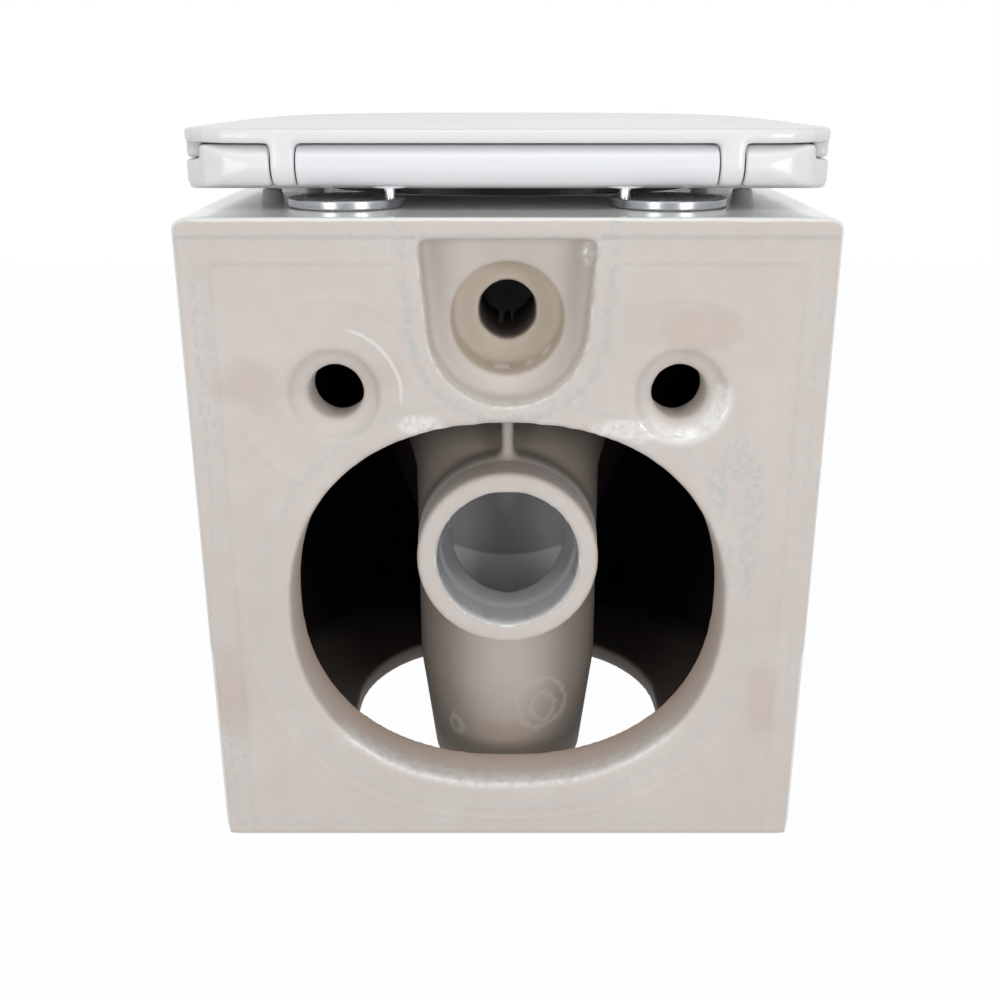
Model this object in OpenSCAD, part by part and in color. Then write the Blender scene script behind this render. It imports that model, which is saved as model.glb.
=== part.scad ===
// A wall hung toilet: a hollow vitreous china pan, open at the back and in the base,
// with a soft-close seat and lid that lift off two steel discs.
// Lengths are in millimetres. The wall is the plane y = 0 and the pan stands out towards -Y.
// The origin lies on the wall, midway between the two wall bolts.

/* [Pan] */
// Width of the flat back, at the rim
pan_back_width = 334; // [310:1:360]
// Width of the flat back, at the base
pan_base_width = 331; // [300:1:350]
// Greatest width of the rim
pan_rim_width = 354; // [340:1:390]
// Height of the back, from base to rim
pan_height = 357; // [330:1:390]
// How far the rim reaches from the wall
pan_depth = 520; // [490:1:580]
// Length of the gently bowed flanks, from the wall
pan_flank = 300; // [240:1:320]
// How far the flat base reaches from the wall
base_depth = 268; // [262:1:290]
// Height of the upright band below the rim at the front
front_band = 92; // [60:1:130]
// Height of the rim above the line of the wall bolts
rim_above_bolts = 90; // [80:1:110]
// Thickness of the fired clay
clay = 10; // [8:0.5:12]
// Thickness of the base slab
base_slab = 13; // [10:0.5:16]
// Rounding of the rim's outer edge
rim_round = 6; // [3:0.5:9]
// Rounding of the base corners of the back
base_round = 4; // [2:0.5:8]

/* [Wall side] */
// Distance between the two wall bolts
bolt_spacing = 180; // [170:1:190]
// Diameter of each bolt hole
bolt_hole = 29; // [24:0.5:30]
// Diameter of the sunk mouth of each bolt hole
bolt_mouth = 47; // [40:0.5:52]
// Depth of the sunk mouth
bolt_mouth_depth = 8; // [5:0.5:12]
// Depth of the clay round the bolt holes and the large opening
return_depth = 35; // [30:1:40]
// Width of the large opening in the back
opening_width = 238; // [224:1:246]
// Height of the large opening in the back
opening_height = 216; // [208:1:222]
// Distance from the rim down to the large opening
opening_below_rim = 105.5; // [104:0.5:112]
// Width and length of the round opening in the base
base_opening = 208; // [190:1:216]
// Distance from the wall to the middle of the base opening
base_opening_from_wall = 145; // [138:1:150]

/* [Flush inlet] */
// Height of the inlet above the wall bolts
inlet_above_bolts = 35; // [32:1:38]
// Diameter of the socket that takes the flush pipe
inlet_socket = 60; // [56:0.5:64]
// Depth of that socket
inlet_socket_depth = 31; // [24:1:34]
// Diameter of the water way behind the socket
inlet_way = 32; // [26:1:38]
// Width of the pocket round the inlet at its flat top
pocket_width = 90; // [88:1:98]
// Width of the pocket at its round foot
pocket_foot = 82; // [79:1:88]
// Distance from the rim down to the pocket
pocket_below_rim = 11; // [10:0.5:13]
// Depth of the pocket
pocket_depth = 25; // [20:1:28]

/* [Waste outlet] */
// Distance of the outlet below the wall bolts
outlet_below_bolts = 100; // [96:1:104]
// Outside diameter of the outlet spigot
outlet_outside = 102; // [100:0.5:104]
// Inside diameter of the outlet
outlet_inside = 80; // [76:0.5:84]
// How far the end of the spigot is set back from the wall
outlet_setback = 20; // [14:1:24]
// Length of the plain spigot that a connector slides over
spigot_length = 27; // [24:1:28]
// Distance from the wall to the middle of the upright trap leg
leg_from_wall = 104; // [103:1:108]
// Diameter of the trap leg at the outlet
leg_top = 112; // [108:1:113]
// Diameter of the trap leg at its foot
leg_foot = 94; // [90:1:98]
// Inside diameter of the trap
trap_inside = 72; // [68:1:74]

/* [Bowl] */
// Width of the bowl at the rim
bowl_width = 270; // [250:1:276]
// Length of the bowl at the rim
bowl_length = 345; // [330:1:350]
// Distance from the wall to the bowl
bowl_from_wall = 135; // [132:1:138]
// Depth of the bowl down to the trap
bowl_depth = 260; // [250:1:264]

/* [Seat and lid] */
// Width of the seat where its rear corners end
seat_rear_width = 347; // [340:1:352]
// Greatest width of the seat
seat_width = 360; // [356:1:364]
// How far the seat reaches from the wall
seat_depth = 523; // [515:1:530]
// Radius of the rear corners of the seat and the lid
seat_corner = 38; // [30:1:44]
// Height of the underside of the seat above the rim
seat_lift = 9; // [8:0.5:10]
// Thickness of the seat
seat_thickness = 16; // [14:0.5:17]
// Width of the hole in the seat
seat_hole_width = 212; // [190:1:225]
// Width of the seat in front of its hole
seat_front = 68; // [55:1:90]
// Distance from the wall to the hole in the seat
seat_hole_from_wall = 180; // [170:1:195]
// Height of the top of the lid above the rim
lid_top = 41; // [40:0.5:44]
// Thickness of the lid's panel
lid_panel_thickness = 7.3; // [6:0.1:7.5]
// Thickness of the lid's turned-down edge
lid_edge = 8; // [5:0.5:12]

/* [Hinge] */
// Distance from the wall to the hinge axis
axis_from_wall = 45; // [43:0.5:47]
// Height of the hinge axis above the rim
axis_above_rim = 22.4; // [22:0.1:22.6]
// Radius of the rounded back of the hinge housing, arms and wings
hinge_radius = 10.6; // [10:0.1:10.8]
// Half the length of the hinge housing
housing_half = 109.3; // [105:0.1:112]
// Depth of the housing in front of its axis
housing_front = 17; // [16.5:0.1:17.3]
// Width of each lid arm
arm_width = 12.6; // [10:0.1:14]
// Diameter of the hinge spindles
spindle = 8; // [6:0.1:9]
// Length of each soft-close damper
damper_length = 39; // [34:0.5:40]

/* [Fixings] */
// Diameter of the steel discs on the rim
disc = 63; // [58:0.5:66]
// Height of the steel discs
disc_height = 5; // [4.6:0.1:5.6]
// Distance between the middles of the discs
disc_spacing = 174; // [170:1:178]
// Distance from the wall to the middles of the discs
disc_from_wall = 64; // [62:1:66]
// Distance between the two seat holes in the rim
seat_holes_spacing = 155; // [152:1:158]
// Diameter of each seat hole in the rim
seat_hole = 15; // [14:0.5:18]
// Distance between the two hinge pins
pin_spacing = 125.4; // [124:0.2:128]
// Distance from the wall to the hinge pins
pin_from_wall = 55; // [54:0.1:55.6]
// Diameter of each hinge pin
pin = 6; // [5:0.1:7]

/* [Hidden] */

$fn = 64;
// One overrun serves every cut
cut = 1;
// Gap between pieces that move past each other
moving_gap = 0.35;
// Radial clearance of a spindle or a pin in its hole
fit_gap = 0.06;
// Radial clearance of a piece that is fixed in its hole
seat_gap = 0.1;

// Heights, all from the line of the wall bolts
rim_z = rim_above_bolts;
base_z = rim_z - pan_height;
outlet_z = -outlet_below_bolts;
inlet_z = inlet_above_bolts;
axis_z = rim_z + axis_above_rim;

// Number of straight steps in each kind of curve
flank_steps = 4;
front_steps = 9;
corner_steps = 5;
oval_steps = 48;
opening_steps = 72;
// Squareness of the curves: two is an ellipse, more is squarer
front_power = 2.7;
keel_power = 2.3;
bowl_power = 2.4;
opening_power = 2.25;
base_opening_power = 2.2;

// The keel is drawn in by more than the flanks, because it slants
keel_inset_share = 1.3;
// The base is this much wider in the middle of its flanks than at the wall
base_bow = 3;

// Positive power that keeps the sign, for squarish ovals
function signed_power(v, p) = v < 0 ? -pow(-v, p) : pow(v, p);

// A squarish oval round a middle point, anticlockwise
function oval(middle, half_width, half_length, power, steps) = [
    for (i = [0:steps - 1])
        let (a = i * 360 / steps)
            middle + [
                half_width * signed_power(cos(a), 2 / power),
                half_length * signed_power(sin(a), 2 / power)
            ]
];

// Front quarter of an outline, from the end of the flank to the middle
function front_quarter(half_side, flank, depth) = [
    for (i = [0:front_steps])
        let (a = i * 90 / front_steps)
            [half_side * signed_power(cos(a), 2 / front_power),
             -flank - (depth - flank) * signed_power(sin(a), 2 / front_power)]
];

// Flank that bows out from half_back to half_side
function flank_line(half_back, half_side, start, flank) = [
    for (i = [0:flank_steps - 1])
        let (t = i / flank_steps)
            [half_back + (half_side - half_back) * (1 - (1 - t) * (1 - t)),
             -start - (flank - start) * t]
];

// Both halves of an outline, anticlockwise from above
function both_halves(half) = concat(
    [for (p = half) [-p.x, p.y]],
    [for (i = [len(half) - 2:-1:0]) half[i]]
);

// Outline of the pan seen from above
function pan_outline(start, back, side, flank, depth) = both_halves(concat(
    flank_line(back / 2, side / 2, start, flank),
    front_quarter(side / 2, flank, depth)
));

// Share of the front overhang that is left at a height below the band
function keel_share(z) =
    let (s = max(0, rim_z - front_band - z) / (pan_height - front_band))
        pow(max(0, 1 - pow(s, keel_power)), 1 / keel_power);

// One level of the pan's skin, drawn in by inset from the sides, the front and the keel
function pan_level(z, start, inset) =
    let (k = keel_share(z - inset * keel_inset_share), down = (rim_z - z) / pan_height)
        [for (p = pan_outline(
            start,
            pan_back_width + (pan_base_width - pan_back_width) * down - 2 * inset,
            pan_base_width + base_bow
                + (pan_rim_width - pan_base_width - base_bow) * sqrt(k) - 2 * inset,
            pan_flank * (base_depth + (pan_depth - base_depth) * k) / pan_depth,
            base_depth + (pan_depth - base_depth) * k - inset
        )) [p.x, p.y, z]];

// Solid through a stack of rings that all have as many points
module loft(rings) {
    count = len(rings[0]);
    last = len(rings) - 1;
    polyhedron(
        points = [for (ring = rings) each ring],
        faces = concat(
            [[for (j = [0:count - 1]) j]],
            [for (i = [0:last - 1], j = [0:count - 1])
                let (k = (j + 1) % count)
                    [i * count + j, (i + 1) * count + j, (i + 1) * count + k, i * count + k]],
            [[for (j = [count - 1:-1:0]) last * count + j]]
        )
    );
}

// Extrusion from the wall towards the front of a shape drawn in x and z
module from_wall(depth) {
    rotate([90, 0, 0]) linear_extrude(depth) children();
}

// Cylinder that runs from the wall side towards the front
module bore(x, y, z, diameter, length) {
    translate([x, -y, z]) rotate([90, 0, 0]) cylinder(h = length, d = diameter);
}

// Cylinder along the hinge axis
module along_axis(x, diameter, length) {
    translate([x, -axis_from_wall, axis_z]) rotate([0, 90, 0]) cylinder(h = length, d = diameter);
}

// A copy on each side of the middle
module both_sides() {
    children();
    mirror([1, 0, 0]) children();
}

// One side alone: 1 is left as a user sits, -1 is right
module on_side(side) {
    mirror([side < 0 ? 1 : 0, 0, 0]) children();
}

// Pan

// Heights of the rings of the keel, close together where it turns under
skin_shares = [for (a = [90:-10:10]) 1 - pow(sin(a), 2 / keel_power)];
band_low = rim_z - front_band;

// Rings of the skin from low up to high, drawn in by inset
module pan_skin(start, inset, low, high) {
    loft(concat(
        [for (s = skin_shares) pan_level(low + (band_low - low) * s, start, inset)],
        [pan_level(band_low, start, inset)],
        [for (a = [0:30:90])
            pan_level(high - rim_round * (1 - sin(a)), start, inset + rim_round * (1 - cos(a)))]
    ));
}

// Corner of the back, as an arc round a centre
function corner_arc(x, z, radius, from) = [
    for (i = [0:corner_steps])
        let (a = from + i * 90 / corner_steps)
            [x + radius * cos(a), z + radius * sin(a)]
];

module back_outline() {
    top = pan_back_width / 2 - rim_round;
    low = pan_base_width / 2 - base_round;
    polygon(concat(
        corner_arc(top, rim_z - rim_round, rim_round, 0),
        corner_arc(-top, rim_z - rim_round, rim_round, 90),
        corner_arc(-low, base_z + base_round, base_round, 180),
        corner_arc(low, base_z + base_round, base_round, 270)
    ));
}

opening_z = rim_z - opening_below_rim - opening_height / 2;

module opening_outline(grow) {
    polygon(oval(
        [0, opening_z],
        opening_width / 2 + grow,
        opening_height / 2 + grow,
        opening_power,
        opening_steps
    ));
}

// Flat top, slanted sides and a half-round foot round the inlet
module pocket_outline(grow) {
    radius = pocket_foot / 2 + grow;
    half_top = pocket_width / 2 + grow;
    top = rim_z - pocket_below_rim + grow / 2;
    translate([0, inlet_z]) difference() {
        circle(r = radius);
        translate([-radius, 0]) square(2 * radius);
    }
    polygon([[-half_top, top], [-radius, inlet_z], [radius, inlet_z], [half_top, top]]);
}

// Share of depth, width, start and end of the bowl at each level, from the foot up
bowl_level_shares = [
    [1, 0.22, 0.17, 0.34],
    [0.923, 0.35, 0.145, 0.43],
    [0.77, 0.5, 0.12, 0.6],
    [0.577, 0.69, 0.085, 0.78],
    [0.346, 0.875, 0.043, 0.93],
    [0.115, 0.985, 0.008, 0.992],
    [0, 1, 0, 1]
];

function bowl_ring(share, z, grow) =
    let (
        start = bowl_from_wall + bowl_length * share[2] - grow,
        end = bowl_from_wall + bowl_length * share[3] + grow
    ) [for (p = oval(
        [0, -(start + end) / 2],
        bowl_width * share[1] / 2 + grow,
        (end - start) / 2,
        bowl_power,
        oval_steps
    )) [p.x, p.y, z]];

// Bowl, grown by grow, up to a height of top
module bowl_form(grow, top) {
    loft([for (share = bowl_level_shares)
        bowl_ring(share, top - (top - rim_z + bowl_depth + grow) * share[0], grow)]);
}

// Place of the trap's riser along the bowl
sump_share = 0.255;
sump_y = bowl_from_wall + bowl_length * sump_share;
// The foot of the trap stays this far above the base
trap_foot_gap = 3;
trap_low = base_z + trap_foot_gap;
trap_run_z = trap_low + leg_foot / 2;
// The pipe is this much wider past the plain spigot, and the low run this much narrower
shoulder = 3;
// Height over which the leg narrows to its foot
leg_taper = 70;
// Throat from the leg up to the bowl's underside: it starts this far above the outlet's
// middle, rises by its height, and grows and leans back towards the bowl on the way up
throat_start = 28;
throat_height = 62;
throat_grow = 34;
throat_lean = 64;
// The throat starts this much inside the leg's surface
throat_inset = 1;
// Share of height, of growth and of lean at each level of the throat
throat_shares = [[0, 0, 0], [0.2, 0.12, 0.06], [0.42, 0.35, 0.25], [0.68, 0.65, 0.6], [1, 1, 1]];
// The bend behind the spigot is a little narrower than the outlet
trap_bend = outlet_inside - shoulder;
riser_top = rim_z - bowl_depth + clay;

// Outside of the trap: spigot, shoulder, upright leg, low run and riser to the bowl
module trap_outside() {
    bore(0, outlet_setback, outlet_z, outlet_outside, leg_from_wall - outlet_setback);
    bore(0, outlet_setback + spigot_length, outlet_z, outlet_outside + shoulder,
        leg_from_wall - outlet_setback - spigot_length);
    translate([0, -leg_from_wall, trap_low]) {
        cylinder(h = leg_taper, d1 = leg_foot, d2 = leg_top);
        translate([0, 0, leg_taper])
            cylinder(h = outlet_z + throat_start - trap_low - leg_taper + cut, d = leg_top);
    }
    loft([for (share = throat_shares)
        let (radius = leg_top / 2 - throat_inset + throat_grow * share[1])
            [for (p = oval(
                [0, -leg_from_wall - throat_grow * share[1] - throat_lean * share[2]],
                radius, radius, 2, oval_steps
            )) [p.x, p.y, outlet_z + throat_start + throat_height * share[0]]]]);
    bore(0, leg_from_wall, trap_run_z, leg_foot - shoulder, sump_y - leg_from_wall);
    translate([0, -sump_y, trap_low]) cylinder(h = riser_top - trap_low, d = leg_foot);
}

// Water way of the trap
module trap_way() {
    bore(0, outlet_setback - cut, outlet_z, outlet_inside, spigot_length + 2 * cut);
    bore(0, outlet_setback + spigot_length, outlet_z, trap_bend,
        leg_from_wall - outlet_setback - spigot_length);
    translate([0, -leg_from_wall, trap_run_z])
        cylinder(h = outlet_z + trap_bend / 2 - trap_run_z, d = trap_inside);
    bore(0, leg_from_wall, trap_run_z, trap_inside - shoulder, sump_y - leg_from_wall);
    translate([0, -sump_y, trap_run_z]) cylinder(h = riser_top - trap_run_z, d = trap_inside);
    for (y = [leg_from_wall, sump_y])
        translate([0, -y, trap_run_z]) sphere(d = trap_inside + shoulder);
}

// Clay wall round the socket of the inlet and round the water way
socket_wall = 9;

module inlet_outside() {
    bore(0, pocket_depth + cut, inlet_z, inlet_socket + 2 * socket_wall,
        inlet_socket_depth + socket_wall - cut);
    bore(0, pocket_depth + inlet_socket_depth, inlet_z, inlet_way + 2 * socket_wall,
        bowl_from_wall + clay - pocket_depth - inlet_socket_depth);
}

module inlet_cut() {
    bore(0, pocket_depth - cut, inlet_z, inlet_socket, inlet_socket_depth + cut);
    bore(0, pocket_depth, inlet_z, inlet_way, bowl_from_wall + 2 * clay - pocket_depth);
}

// Upright web between the pocket and the outlet
web_width = 7;
web_depth = 24;
// The web starts this far behind the plain spigot, clear of the connector
web_room = 2;
web_setback = outlet_setback + spigot_length + web_room;

module web() {
    low = outlet_z + outlet_outside / 2 - clay / 2;
    translate([-web_width / 2, -web_setback - web_depth, low])
        cube([web_width, web_depth, opening_z + opening_height / 2 + clay / 2 - low]);
}

module base_cut() {
    translate([0, 0, base_z - cut])
        linear_extrude(base_slab + 2 * cut)
            polygon(oval([0, -base_opening_from_wall], base_opening / 2, base_opening / 2,
                base_opening_power, opening_steps));
}

// Skin, flat back, and the returns round the opening, the bolts and the pocket
module pan_walls() {
    difference() {
        union() {
            difference() {
                pan_skin(clay - cut, 0, base_z, rim_z);
                pan_skin(clay - cut / 2, clay, base_z + base_slab, rim_z - clay);
                base_cut();
            }
            from_wall(clay) back_outline();
            translate([0, -clay / 2, 0]) from_wall(return_depth - clay / 2) opening_outline(clay);
            both_sides()
                bore(bolt_spacing / 2, clay / 2, 0, bolt_mouth + bolt_rim, return_depth - clay / 2);
            translate([0, -clay / 2, 0]) from_wall(pocket_depth + clay / 2) pocket_outline(clay);
        }
        translate([0, cut, 0]) from_wall(return_depth + 2 * cut) opening_outline(0);
        translate([0, cut, 0]) from_wall(pocket_depth + cut) pocket_outline(0);
    }
}

// The bolt tubes are this much wider than the sunk mouths
bolt_rim = 4;
// The mouths have an upright step this deep before they slope to the hole
mouth_step = 4;

module bolt_cut() {
    bore(bolt_spacing / 2, -cut, 0, bolt_hole, return_depth + 2 * cut);
    bore(bolt_spacing / 2, -cut, 0, bolt_mouth, mouth_step + cut);
    translate([bolt_spacing / 2, -mouth_step, 0]) rotate([90, 0, 0])
        cylinder(h = bolt_mouth_depth - mouth_step, d1 = bolt_mouth, d2 = bolt_hole);
}

module ceramic_pan() color("ivory") difference() {
    union() {
        pan_walls();
        bowl_form(clay, rim_z - clay / 2);
        trap_outside();
        inlet_outside();
        web();
    }
    bowl_form(0, rim_z + cut);
    trap_way();
    inlet_cut();
    both_sides() {
        bolt_cut();
        translate([seat_holes_spacing / 2, -disc_from_wall, rim_z - clay - cut])
            cylinder(h = clay + 2 * cut, d = seat_hole);
    }
}

// Disc fixings on the rim

disc_x = disc_spacing / 2;
pin_x = pin_spacing / 2;
stud_x = seat_holes_spacing / 2;
gasket_height = 0.8;
cap_wall = 1.1;
plate_radius = disc / 2 - cap_wall - seat_gap;
plate_top = disc_height - cap_wall - seat_gap;
stud = 6;
stud_head = 10;
stud_head_height = 2.2;
stud_length = 38;
bush_length = 32;
nut_height = 5;
nut_across = 12.5;
pin_top = 20.5;

// A round of the given radius on the rim, at the disc's place
module on_disc(low, high, radius) {
    translate([disc_x, -disc_from_wall, rim_z + low]) cylinder(h = high - low, r = radius);
}

// A round at the stud, which also fills the seat hole
module on_stud(low, high, diameter) {
    translate([stud_x, -disc_from_wall, rim_z + low]) cylinder(h = high - low, d = diameter);
}

// A round at the hinge pin
module on_pin(low, high, diameter) {
    translate([pin_x, -pin_from_wall, rim_z + low]) cylinder(h = high - low, d = diameter);
}

stud_seat = plate_top - stud_head_height;

module disc_gasket(side) color("dimgray") on_side(side) difference() {
    on_disc(0, gasket_height, plate_radius);
    on_stud(-cut, gasket_height + cut, stud + 2 * seat_gap);
}

module base_plate(side) color("gray") on_side(side) difference() {
    on_disc(gasket_height, plate_top, plate_radius);
    on_stud(0, plate_top, stud + 2 * seat_gap);
    on_stud(stud_seat, plate_top + cut, stud_head + 2 * seat_gap);
    on_pin(gasket_height + pin_step, plate_top + cut, pin + 2 * seat_gap);
}

// Thickness of plate left under the foot of the pin
pin_step = 0.6;

module hinge_disc(side) color("silver") on_side(side) difference() {
    on_disc(disc_lift, disc_height, disc / 2);
    on_disc(disc_lift - cut, plate_top + seat_gap, disc / 2 - cap_wall);
    on_pin(plate_top, disc_height + cut, pin + 4 * seat_gap);
}

// The skirt of the disc stays this far above the glaze
disc_lift = 0.3;

module hinge_pin(side) color("silver") on_side(side)
    on_pin(gasket_height + pin_step, pin_top, pin);

module fixing_stud(side) color("silver") on_side(side) {
    on_stud(stud_seat, plate_top, stud_head);
    on_stud(-stud_length, stud_seat, stud);
}

module rubber_bush(side) color("black") on_side(side) difference() {
    on_stud(-bush_length, 0, seat_hole - 2 * seat_gap);
    on_stud(-bush_length - cut, cut, stud + 2 * seat_gap);
}

module bush_nut(side) color("goldenrod") on_side(side) difference() {
    translate([stud_x, -disc_from_wall, rim_z - bush_length - nut_height])
        cylinder(h = nut_height, d = nut_across, $fn = 6);
    on_stud(-stud_length, 0, stud + seat_gap);
}

// Hinge housing and what it holds

housing_wall = 2;
housing_bore = 2 * (hinge_radius - housing_wall);
collar = 19.6;
collar_flange = 1.2;
sleeve_wall = 2;
sleeve = pin + 2 * sleeve_wall;
collar_top = 17;
clip_height = 1.2;
clip_wall = 1.4;
clip_gap = 3;
button_from_end = 9;
button_width = 7;
button_depth = 4;
button_height = 4.5;
button_proud = 1.5;
button_travel = 1.2;
button_x = housing_half - button_from_end - button_width;
// Wall in front of each release button
button_wall = 1.2;
button_y = axis_from_wall + housing_front - button_depth - button_wall;
underside = axis_above_rim - hinge_radius;

// Box between two x values, two distances from the wall and two heights above the rim
module block(x, near, low, width, far, high) {
    translate([x, -far, rim_z + low]) cube([width, far - near, high - low]);
}

module hinge_housing() color("white") difference() {
    union() {
        along_axis(-housing_half, 2 * hinge_radius, 2 * housing_half);
        block(-housing_half, axis_from_wall, underside,
            2 * housing_half, axis_from_wall + housing_front, axis_above_rim + hinge_radius);
    }
    along_axis(-housing_half - cut, housing_bore, 2 * (housing_half + cut));
    both_sides() {
        on_pin(underside - cut, axis_above_rim, sleeve + 2 * seat_gap);
        block(button_x - moving_gap, button_y - moving_gap, underside - cut,
            button_width + 2 * moving_gap, button_y + button_depth + moving_gap,
            underside - button_proud + button_height + button_travel + moving_gap);
    }
}

module pin_collar(side) color("white") on_side(side) difference() {
    union() {
        on_pin(underside - collar_flange, underside, collar);
        on_pin(underside - collar_flange, collar_top, sleeve);
    }
    on_pin(underside - collar_flange - cut, collar_top + cut, pin + 2 * fit_gap);
}

module pin_clip(side) color("silver") on_side(side) difference() {
    on_pin(collar_top, collar_top + clip_height, pin + 2 * moving_gap + 2 * clip_wall);
    on_pin(collar_top - cut, collar_top + clip_height + cut, pin + 2 * moving_gap);
    block(pin_x - clip_gap / 2, pin_from_wall, collar_top - cut,
        clip_gap, pin_from_wall + pin, collar_top + clip_height + cut);
}

module release_button(side) color("whitesmoke") on_side(side)
    block(button_x, button_y, underside - button_proud,
        button_width, button_y + button_depth, underside - button_proud + button_height);

spindle_grip = 22;

module damper(side) color("dimgray") on_side(side) difference() {
    along_axis(housing_half - damper_length, housing_bore - 2 * seat_gap, damper_length);
    along_axis(housing_half - spindle_grip - cut, spindle + 2 * fit_gap, spindle_grip + 2 * cut);
}

arm_x = housing_half + moving_gap;
wing_x = arm_x + arm_width + moving_gap;
// Length of each wing, and how much of it the bush and the raised part take
wing_length = seat_rear_width / 2 - wing_x;
wing_bush_share = 0.49;
wing_rise_share = 0.75;
wing_bush = wing_length * wing_bush_share;
wing_rise_end = wing_x + wing_length * wing_rise_share;
bush_wall = 2;
bush_outside = spindle + 2 * bush_wall;
spindle_end = wing_x + wing_bush - moving_gap;

module hinge_spindle(side) color("silver") on_side(side)
    along_axis(housing_half - spindle_grip, spindle, spindle_end - housing_half + spindle_grip);

// Seat and lid

seat_rear = axis_from_wall - hinge_radius;
// Distance from the hinge axis to the rear edge of the seat's ring, clear of the housing
ring_clearance = 21;
ring_rear = axis_from_wall + ring_clearance;
// The rear corners are no rounder than the wings are long
rear_corner = min(seat_corner, wing_length);
seat_hole_length = seat_depth - seat_hole_from_wall - seat_front;

// Outline of the seat or the lid: rounded rear corners, bowed flanks and a squarish front
function seat_outline(inset) = both_halves(concat(
    [for (i = [0:corner_steps])
        let (a = 90 - i * 90 / corner_steps, radius = rear_corner - inset)
            [seat_rear_width / 2 - rear_corner + radius * cos(a),
             -seat_rear - rear_corner + radius * sin(a)]],
    [for (i = [1:flank_steps - 1])
        let (t = i / flank_steps, start = seat_rear + rear_corner)
            [(seat_rear_width + (seat_width - seat_rear_width) * (1 - (1 - t) * (1 - t))) / 2
                - inset,
             -start - (pan_flank - start) * t]],
    front_quarter(seat_width / 2 - inset, pan_flank, seat_depth - inset)
));

module slab(low, high, inset) {
    translate([0, 0, rim_z + low]) linear_extrude(high - low) polygon(seat_outline(inset));
}

seat_top = seat_lift + seat_thickness;

// Everything in front of a distance from the wall
module in_front_of(distance, low, high) {
    block(-seat_width, distance, low, 2 * seat_width, seat_depth + cut, high);
}

module seat_ring() color("white") difference() {
    union() {
        intersection() {
            slab(seat_lift, seat_top, 0);
            in_front_of(ring_rear, seat_lift, seat_top);
        }
        both_sides() intersection() {
            union() {
                along_axis(wing_x, 2 * hinge_radius, wing_rise_end - wing_x);
                block(wing_x, axis_from_wall, underside,
                    wing_rise_end - wing_x, ring_rear + cut, axis_above_rim + hinge_radius);
                block(wing_rise_end - cut, axis_from_wall, underside,
                    seat_rear_width / 2 - wing_rise_end, ring_rear + cut, seat_top);
            }
            slab(0, lid_top, 0);
        }
    }
    translate([0, -seat_hole_from_wall - seat_hole_length / 2, rim_z + seat_lift - cut])
        linear_extrude(seat_thickness + 2 * cut)
            polygon(oval([0, 0], seat_hole_width / 2, seat_hole_length / 2,
                bowl_power, oval_steps));
    both_sides() along_axis(wing_x - cut, bush_outside + 2 * seat_gap, wing_bush + cut);
}

bumper = 16;
bumper_foot = 12;
// Room between each bumper and the lid's turned-down edge
bumper_room = 6.3;
bumper_x = min(seat_width, seat_rear_width) / 2 - lid_edge - bumper_room - bumper / 2;
bumper_y_shares = [0.36, 0.7];

// Places of the bumpers, inside the lid's edge and at shares of the seat's depth
module at_bumpers() {
    both_sides() for (share = bumper_y_shares)
        translate([bumper_x, -seat_depth * share, rim_z]) children();
}

module seat_bumpers() color("lightgray") at_bumpers()
    translate([0, 0, moving_gap])
        cylinder(h = seat_lift - moving_gap, d1 = bumper_foot, d2 = bumper);

module lid_bumpers() color("lightgray") at_bumpers()
    translate([0, 0, seat_top + moving_gap])
        cylinder(h = lid_top - lid_panel_thickness - seat_top - moving_gap,
            d1 = bumper_foot, d2 = bumper);

// Bushes round the spindles, a pair in each
module bush_pair(x, length) {
    both_sides() difference() {
        along_axis(x, bush_outside, length);
        along_axis(x - cut, spindle + 2 * fit_gap, length + 2 * cut);
    }
}

module seat_bushes() color("gray") bush_pair(wing_x, wing_bush);

module lid_bushes() color("gray") bush_pair(arm_x, arm_width);

module lid_panel() color("white") difference() {
    union() {
        difference() {
            slab(seat_top + moving_gap, lid_top, 0);
            slab(seat_top, lid_top - lid_panel_thickness, lid_edge);
            block(-seat_width, 0, seat_top,
                2 * seat_width, ring_rear, lid_top - lid_panel_thickness);
        }
        both_sides() {
            along_axis(arm_x, 2 * hinge_radius, arm_width);
            block(arm_x, seat_rear, axis_above_rim,
                arm_width, axis_from_wall + hinge_radius, lid_top - lid_panel_thickness / 2);
        }
    }
    both_sides() along_axis(arm_x - cut, bush_outside + 2 * seat_gap, arm_width + 2 * cut);
}

ceramic_pan();
disc_gasket(1);  // left_disc_gasket
disc_gasket(-1);  // right_disc_gasket
base_plate(1);  // left_base_plate
base_plate(-1);  // right_base_plate
hinge_disc(1);  // left_hinge_disc
hinge_disc(-1);  // right_hinge_disc
hinge_pin(1);  // left_hinge_pin
hinge_pin(-1);  // right_hinge_pin
fixing_stud(1);  // left_fixing_stud
fixing_stud(-1);  // right_fixing_stud
rubber_bush(1);  // left_rubber_bush
rubber_bush(-1);  // right_rubber_bush
bush_nut(1);  // left_bush_nut
bush_nut(-1);  // right_bush_nut
hinge_housing();
pin_collar(1);  // left_pin_collar
pin_collar(-1);  // right_pin_collar
pin_clip(1);  // left_pin_clip
pin_clip(-1);  // right_pin_clip
release_button(1);  // left_release_button
release_button(-1);  // right_release_button
damper(1);  // left_damper
damper(-1);  // right_damper
hinge_spindle(1);  // left_spindle
hinge_spindle(-1);  // right_spindle
seat_ring();
seat_bumpers();
seat_bushes();
lid_panel();
lid_bumpers();
lid_bushes();
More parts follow.
